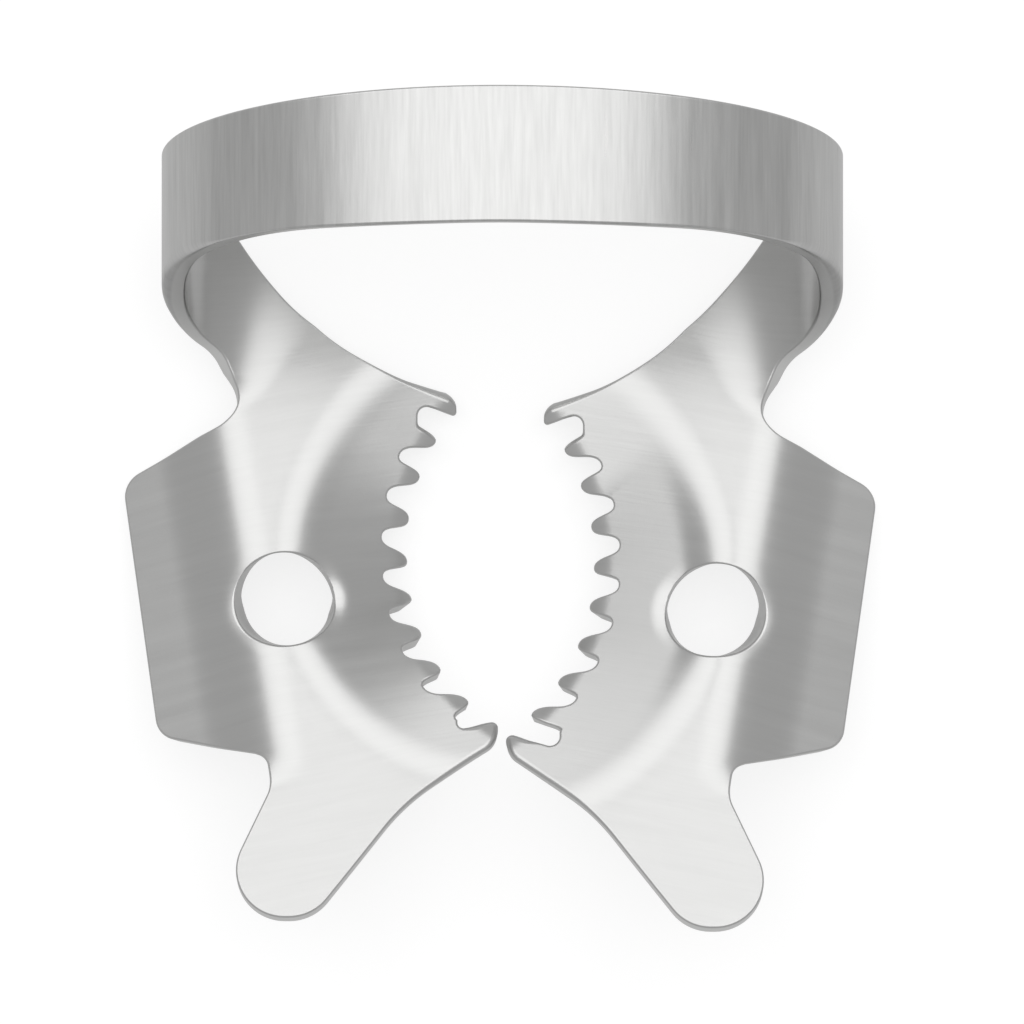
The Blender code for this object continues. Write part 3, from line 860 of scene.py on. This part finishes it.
def raised(flat, height):
    """Points of the blank carried into space, this far off the sheet's middle."""
    height = thinned(flat, height)
    flat = flat + lean_of_hole(flat, height)
    return formed(flat) + formed_normals(flat) * np.reshape(height, (-1, 1))


def rim_normals(loop, tilt):
    """Shading normals of a ring: the sheet's normal, leaning outwards by tilt."""
    face = formed_normals(loop)
    outward = formed(loop) - formed(loop + mitres(loop) * RIM_STEP)
    outward -= face * np.sum(outward * face, axis=1)[:, None]
    outward /= np.linalg.norm(outward, axis=1)[:, None]
    lean = np.abs(tilt)[:, None]
    side = np.where(tilt < 0, -1.0, 1.0)[:, None]
    return face * side * np.cos(lean) + outward * np.sin(lean)


thinnest = thinned(loops[0], THICKNESS / 2).min() + THICKNESS / 2
print("at the jaws' points the sheet is", round(float(thinnest), 2), "mm thick")

# %% Both faces


class SheetMesh:
    """Collects the sheet's points, faces, normals and their places on the blank."""

    def __init__(self):
        self.points = []
        self.normals = []
        self.blank = []
        self.wall = []
        self.faces = []
        self.count = 0

    def add(self, flat, height, normals, wall):
        """Adds points, with 1 for a cut wall, and returns the number of the first."""
        start = self.count
        self.points.append(raised(flat, height))
        self.normals.append(normals)
        self.blank.append(flat)
        self.wall.append(np.full(len(flat), wall))
        self.count += len(flat)
        return start


sheet = SheetMesh()
half = THICKNESS / 2
for side, (flat, triangles) in ((1, lower_skin), (-1, upper_skin)):
    start = sheet.add(flat, side * half, side * formed_normals(flat), 0.0)
    turned = triangles if side == 1 else triangles[:, ::-1]
    sheet.faces += (turned + start).tolist()
print("points on the two faces:", sheet.count)

# %% [markdown]
# The first and last ring of each stack are already there, as the borders of
# the two faces, so only the rings between them are new points.

# %% Faces around the edge
UPRIGHT = 0.01

starts = {"lower": 0, "upper": len(lower_skin[0])}
for number, (loop, stack) in enumerate(zip(loops, rings)):
    before = sum(len(other) for other in loops[:number])
    rows = [starts["lower"] + before]
    for flat, height, tilt in stack[1:-1]:
        wall = float(np.abs(np.cos(tilt)).max() < UPRIGHT)
        rows.append(sheet.add(flat, height, rim_normals(loop, tilt), wall))
    rows.append(starts["upper"] + before)
    here = np.arange(len(loop))
    ahead = np.roll(here, -1)
    for lower, upper in zip(rows, rows[1:]):
        quads = np.stack([lower + here, upper + here, upper + ahead, lower + ahead], axis=1)
        sheet.faces += quads.tolist()
print("points and faces of the whole sheet:", sheet.count, len(sheet.faces))

# %% [markdown]
# ## At rest
#
# Left alone, the clamp tips back until it lies on the corners of its wings and
# the tip of a hook. The frame says by how much: its record holds the direction
# in which the flat lobes look, which is straight up in the sheet's own frame.
# After that turn the clamp's box is centred over the origin, with its lowest
# point on the floor.

# %% Tilt and place
lobe_axis = frame["record"]["mounts"][0]["axis"]
tilt_back = -atan2(lobe_axis[1], lobe_axis[2])
turn = np.array(Matrix.Rotation(tilt_back, 3, "X")).T
points = np.vstack(sheet.points) @ turn
normals = np.vstack(sheet.normals) @ turn
low, high = points.min(axis=0), points.max(axis=0)
to_origin = np.array([(low[0] + high[0]) / 2, (low[1] + high[1]) / 2, low[2]])
points = (points - to_origin) * MM
print("tilted back by", round(degrees(-tilt_back), 2), "degrees")

# %% [markdown]
# Besides its shape the mesh carries two things for the finish: where each
# point lies on the blank, because the brush marks follow the steel through
# its bends, and whether it lies on the cut wall of an edge. No brush reached
# those walls, and their colour is painted paler, as painted light.

# %% The clamp's mesh
clamp_mesh = bpy.data.meshes.new("formed_clamp")
clamp_mesh.from_pydata(points.tolist(), [], sheet.faces)
blank = np.vstack(sheet.blank)
w = HALF_LENGTH - np.abs(blank[:, 0])
place = clamp_mesh.attributes.new("blank_place", "FLOAT_VECTOR", "POINT")
place.data.foreach_set("vector", np.stack([w, blank[:, 1], blank[:, 0]], axis=1).ravel())
cut = clamp_mesh.attributes.new("cut_wall", "FLOAT", "POINT")
cut.data.foreach_set("value", np.concatenate(sheet.wall))
clamp_mesh.shade_smooth()
clamp_mesh.normals_split_custom_set_from_vertices(normals.tolist())
clamp = bpy.data.objects.new("formed_clamp", clamp_mesh)
bpy.context.scene.collection.objects.link(clamp)
clamp_mesh.calc_loop_triangles()
print("triangles:", len(clamp_mesh.loop_triangles))

# %% [markdown]
# ## Writing materials as arithmetic
#
# A material is a graph of nodes. Small graphs are easier to read as
# arithmetic, so a socket is wrapped in a class whose operators add the Math
# nodes, and any other node comes from one method.

# %% Sockets that can be added and multiplied


class Flow:
    """A value on its way through a node tree."""

    def __init__(self, tree, socket):
        self.tree = tree
        self.socket = socket

    @staticmethod
    def node(tree, kind, settings=None, **sockets):
        """A new node; settings are set first, then its sockets by name, or as _0 by number."""
        made = tree.nodes.new(kind)
        for name, value in (settings or {}).items():
            setattr(made, name, value)
        for name, value in sockets.items():
            numbered = name[1:].isdigit()
            socket = made.inputs[int(name[1:]) if numbered else name.replace("_", " ")]
            if isinstance(value, Flow):
                tree.links.new(value.socket, socket)
            else:
                socket.default_value = value
        return made

    def math(self, operation, *others):
        """This value and the others through one Math node."""
        inputs = {f"_{k}": value for k, value in enumerate((self, *others))}
        made = Flow.node(self.tree, "ShaderNodeMath", {"operation": operation}, **inputs)
        return Flow(self.tree, made.outputs[0])

    def __add__(self, other):
        return self.math("ADD", other)

    def __mul__(self, other):
        return self.math("MULTIPLY", other)

    def __sub__(self, other):
        return self.math("SUBTRACT", other)

    def __rsub__(self, other):
        return self.math("MULTIPLY", -1.0).math("ADD", other)

    __radd__ = __add__
    __rmul__ = __mul__


operators = [name for name in vars(Flow) if name.endswith(("add__", "sub__", "mul__"))]
print("operators ready:", operators)

# %% [markdown]
# ## Brushed spring steel
#
# Fine brush lines run from side to side over the jaw plates, a little aslant,
# and straight across the band of the bow. Under soft light they show as faint
# streaks of shade and roughness and as a soft grain in the highlights. A noise
# stretched along the lines gives all three. It is laid in the blank's
# coordinates, so the lines bend with the steel. The walls of the cut edges
# have no lines and are a little duller. Their colour is painted paler than the
# steel, as painted light that brightens them.

# %% The steel
STEEL_COLOUR = (0.51, 0.51, 0.505, 1.0)
LINE_ANGLE = 12.0
LINES_PER_MM = 9.0
LINE_LENGTH_SHARE = 0.05
STREAKS_PER_MM = 2.6
JAW_SEED = 5.0
GRAIN_SEED = 1.0
STREAKS_SEED = 4.0
BOW_SEED = 7.0
NOISE_DETAIL = 3.0
NOISE_ROUGHNESS = 0.6
BOW_LINES_FROM = 9.5
BOW_LINES_FROM_Y = 6.0
BOW_LINES_BLEND = 2.5
ROUGHNESS = 0.3
ROUGHNESS_STREAKS = 0.1
CUT_ROUGHNESS = 0.16
GRAIN_DEPTH = 0.000002
TINT = 0.12
PLATE_MARKS = 0.3
BOW_MARKS = 0.9
# Painted light: how much paler than the steel the cut walls' colour is painted, to brighten them.
CUT_WALL_PAINTED_LIGHT = 1.25


def shade(share):
    """The steel's colour, lighter or darker."""
    return tuple(share * c for c in STEEL_COLOUR[:3]) + (1.0,)


def brushed_steel():
    """Brushed stainless steel, its lines laid along the blank."""
    material = bpy.data.materials.new("brushed_spring_steel")
    material.use_nodes = True
    tree = material.node_tree
    shader = tree.nodes["Principled BSDF"]
    shader.inputs["Metallic"].default_value = 1.0

    spot = Flow.node(tree, "ShaderNodeAttribute", {"attribute_name": "blank_place"})
    parts = Flow.node(tree, "ShaderNodeSeparateXYZ", Vector=Flow(tree, spot.outputs["Vector"]))
    w, y, u = (Flow(tree, socket) for socket in parts.outputs)
    right_jaw = u.math("GREATER_THAN", 0.0)
    bow = (w - BOW_LINES_FROM) * (1 / BOW_LINES_BLEND)
    past_plate = (y - BOW_LINES_FROM_Y) * (1 / BOW_LINES_BLEND)
    bow = bow.math("MINIMUM", past_plate).math("MAXIMUM", 0.0).math("MINIMUM", 1.0)
    across = y * cos(radians(LINE_ANGLE)) + w * sin(radians(LINE_ANGLE))
    along = w * cos(radians(LINE_ANGLE)) - y * sin(radians(LINE_ANGLE))

    def lines(density, first, second, seed):
        """Noise of this many lines per millimetre across first, stretched along second."""
        vector = Flow.node(
            tree, "ShaderNodeCombineXYZ",
            X=first * density, Y=second * (density * LINE_LENGTH_SHARE), Z=seed,
        )
        noise = Flow.node(
            tree, "ShaderNodeTexNoise", Vector=Flow(tree, vector.outputs[0]),
            Scale=1.0, Detail=NOISE_DETAIL, Roughness=NOISE_ROUGHNESS,
        )
        return Flow(tree, noise.outputs["Fac"])

    def over_blank(density, seed):
        """The lines of the plates, giving way to the lines across the bow."""
        plate = lines(density, across, along, right_jaw * JAW_SEED + seed)
        band = lines(density, u, y, seed + BOW_SEED)
        return plate + (band - plate) * bow

    grain = over_blank(LINES_PER_MM, GRAIN_SEED)
    streaks = over_blank(STREAKS_PER_MM, STREAKS_SEED)
    cut_wall = Flow.node(tree, "ShaderNodeAttribute", {"attribute_name": "cut_wall"})
    wall = Flow(tree, cut_wall.outputs["Fac"])

    rough = ROUGHNESS + (streaks - 0.5) * ROUGHNESS_STREAKS + wall * CUT_ROUGHNESS
    tree.links.new(rough.socket, shader.inputs["Roughness"])
    mark = 0.5 + (grain + streaks - 1.0) * (PLATE_MARKS + bow * BOW_MARKS)
    brushed = Flow.node(
        tree, "ShaderNodeMix", {"data_type": "RGBA"},
        _0=mark.math("MAXIMUM", 0.0).math("MINIMUM", 1.0), _6=shade(1 - TINT), _7=shade(1 + TINT),
    )
    # Painted light: the cut walls take a paler steel colour, which brightens them.
    colour = Flow.node(
        tree, "ShaderNodeMix", {"data_type": "RGBA"},
        _0=wall, _6=Flow(tree, brushed.outputs[2]), _7=shade(CUT_WALL_PAINTED_LIGHT),
    )
    tree.links.new(colour.outputs[2], shader.inputs["Base Color"])
    bump = Flow.node(tree, "ShaderNodeBump", Height=grain, Distance=GRAIN_DEPTH, Strength=1.0)
    tree.links.new(bump.outputs["Normal"], shader.inputs["Normal"])
    return material


steel = brushed_steel()
clamp_mesh.materials.append(steel)
print("nodes in the steel:", len(steel.node_tree.nodes))

# %% [markdown]
# ## In place of the packed model
#
# The fine sheet stands for the packed clamp, which stays hidden as what the
# simulation collides with. It rides on the only body there is.

# %% Ride and replace
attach(clamp, "root")
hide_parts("clamp")
box = [list(corner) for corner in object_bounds()]
print("visible box in mm:", [[round(c / MM, 2) for c in corner] for corner in box])

# %% [markdown]
# ## The studio
#
# Metal shows what stands around it, so the look of the steel is made by the
# studio. A wide round softbox hangs above and behind the clamp, where the
# plates mirror it to the camera: they turn nearly white. The room around it is
# a middle grey, which the bent wings and the dish show. The floor's paint is
# grey enough to keep the clamp's shadow, and a glow that only the camera and
# the metal see makes it white. The steel's first reflection sees part of the
# glow, and light that was thrown about between the steel's own faces sees all
# of it. A small grey card in front of the softbox dims its middle, as a camera
# does that looks past it.

# %% The floor
WHITE = (1.0, 1.0, 1.0, 1.0)
FLOOR_SIZE = 3.0
FLOOR_COLOUR = (0.3, 0.3, 0.3, 1.0)
FLOOR_GLOW = 0.75
FLOOR_IN_METAL = 0.62
FIRST_BOUNCE = 1.5

floor_mesh = bpy.data.meshes.new("floor")
reach = FLOOR_SIZE / 2
corners = [(-reach, -reach, 0), (reach, -reach, 0), (reach, reach, 0), (-reach, reach, 0)]
floor_mesh.from_pydata(corners, [], [(0, 1, 2, 3)])
floor = bpy.data.objects.new("floor", floor_mesh)
bpy.context.scene.collection.objects.link(floor)


def matt_paint(name, colour):
    """Matt paint of this colour."""
    material = bpy.data.materials.new(name)
    material.use_nodes = True
    shader = material.node_tree.nodes["Principled BSDF"]
    shader.inputs["Base Color"].default_value = colour
    shader.inputs["Roughness"].default_value = 1.0
    return material


def white_floor():
    """Matt paint with a glow that the camera sees in full and the steel in part."""
    material = matt_paint("white_floor", FLOOR_COLOUR)
    tree = material.node_tree
    shader = tree.nodes["Principled BSDF"]
    shader.inputs["Specular IOR Level"].default_value = 0.0
    path = Flow.node(tree, "ShaderNodeLightPath")
    names = ("Is Camera Ray", "Is Glossy Ray", "Is Transmission Ray", "Ray Depth")
    camera_ray, glossy_ray, clear_ray, depth = (Flow(tree, path.outputs[name]) for name in names)
    later = depth.math("GREATER_THAN", FIRST_BOUNCE)
    in_metal = glossy_ray * (FLOOR_IN_METAL + later * (1 - FLOOR_IN_METAL))
    seen = camera_ray.math("MAXIMUM", clear_ray).math("MAXIMUM", in_metal)
    glow = Flow.node(tree, "ShaderNodeEmission", Color=WHITE, Strength=seen * FLOOR_GLOW)
    paint_and_glow = Flow.node(
        tree, "ShaderNodeAddShader",
        _0=Flow(tree, shader.outputs[0]), _1=Flow(tree, glow.outputs[0]),
    )
    tree.links.new(paint_and_glow.outputs[0], tree.nodes["Material Output"].inputs["Surface"])
    return material


floor_mesh.materials.append(white_floor())
print("the floor is", FLOOR_SIZE, "m wide")

# %% The room
ROOM_GREY = 0.585

world = bpy.data.worlds.new("studio_room")
world.use_nodes = True
room = world.node_tree.nodes["Background"]
room.inputs["Color"].default_value = WHITE
room.inputs["Strength"].default_value = ROOM_GREY
bpy.context.scene.world = world
print("the room's grey:", ROOM_GREY)

# %% The softbox
LIGHT_LEAN = 28.2
SOFTBOX_DISTANCE = 0.6
SOFTBOX_HALF_ANGLE = 38.0
SOFTBOX_RADIANCE = 1.23

towards_light = Vector((0.0, sin(radians(LIGHT_LEAN)), cos(radians(LIGHT_LEAN))))
facing = Matrix.Rotation(-radians(LIGHT_LEAN), 4, "X")
softbox_radius = SOFTBOX_DISTANCE * tan(radians(SOFTBOX_HALF_ANGLE))
lamp = bpy.data.lights.new("softbox", "AREA")
lamp.shape = "DISK"
lamp.size = 2 * softbox_radius
lamp.energy = SOFTBOX_RADIANCE * pi * pi * softbox_radius**2
softbox = bpy.data.objects.new("softbox", lamp)
softbox.matrix_world = Matrix.Translation(towards_light * SOFTBOX_DISTANCE) @ facing
bpy.context.scene.collection.objects.link(softbox)
print("softbox radius", round(softbox_radius, 3), "m, power", round(lamp.energy, 3), "W")

# %% The grey card
CARD_DISTANCE = 0.55
CARD_HALF_ANGLE = 4.1
CARD_COLOUR = (0.8, 0.8, 0.8, 1.0)
CARD_SIDES = 48

card_radius = CARD_DISTANCE * tan(radians(CARD_HALF_ANGLE))
card_mesh = bpy.data.meshes.new("grey_card")
disc = bmesh.new()
bmesh.ops.create_circle(disc, cap_ends=True, segments=CARD_SIDES, radius=card_radius)
disc.to_mesh(card_mesh)
disc.free()
card = bpy.data.objects.new("grey_card", card_mesh)
card.matrix_world = Matrix.Translation(towards_light * CARD_DISTANCE) @ facing
bpy.context.scene.collection.objects.link(card)
card_mesh.materials.append(matt_paint("grey_card", CARD_COLOUR))
print("card radius", round(card_radius, 3), "m")

# %% [markdown]
# ## The camera
#
# The photograph looks almost straight down, about two degrees from the
# floor's normal, through a long lens. At the clamp the view is about 35 mm
# wide.

# %% Camera
TARGET = Vector((0.000408, -0.000186, 0.002429))
TOWARDS_CAMERA = Vector((0.0, 0.038, 0.999)).normalized()
CAMERA_DISTANCE = 0.255
VIEW_WIDTH = 0.034816
SENSOR_WIDTH = 36.0
NEAREST = 0.01
FURTHEST = 10.0

camera_data = bpy.data.cameras.new("camera")
camera_data.sensor_width = SENSOR_WIDTH
camera_data.lens = SENSOR_WIDTH * CAMERA_DISTANCE / VIEW_WIDTH
camera_data.clip_start = NEAREST
camera_data.clip_end = FURTHEST
camera = bpy.data.objects.new("camera", camera_data)
camera.location = TARGET + TOWARDS_CAMERA * CAMERA_DISTANCE
up = (Vector((0.0, 1.0, 0.0)) - TOWARDS_CAMERA * TOWARDS_CAMERA.y).normalized()
right = up.cross(TOWARDS_CAMERA)
camera.rotation_euler = Matrix((right, up, TOWARDS_CAMERA)).transposed().to_euler()
bpy.context.scene.collection.objects.link(camera)
bpy.context.scene.camera = camera
bpy.context.scene.view_settings.view_transform = "Standard"
print("lens", round(camera_data.lens, 1), "mm")

# %% [markdown] ## The end
# The visible clamp has to fill the
# packed model's box.
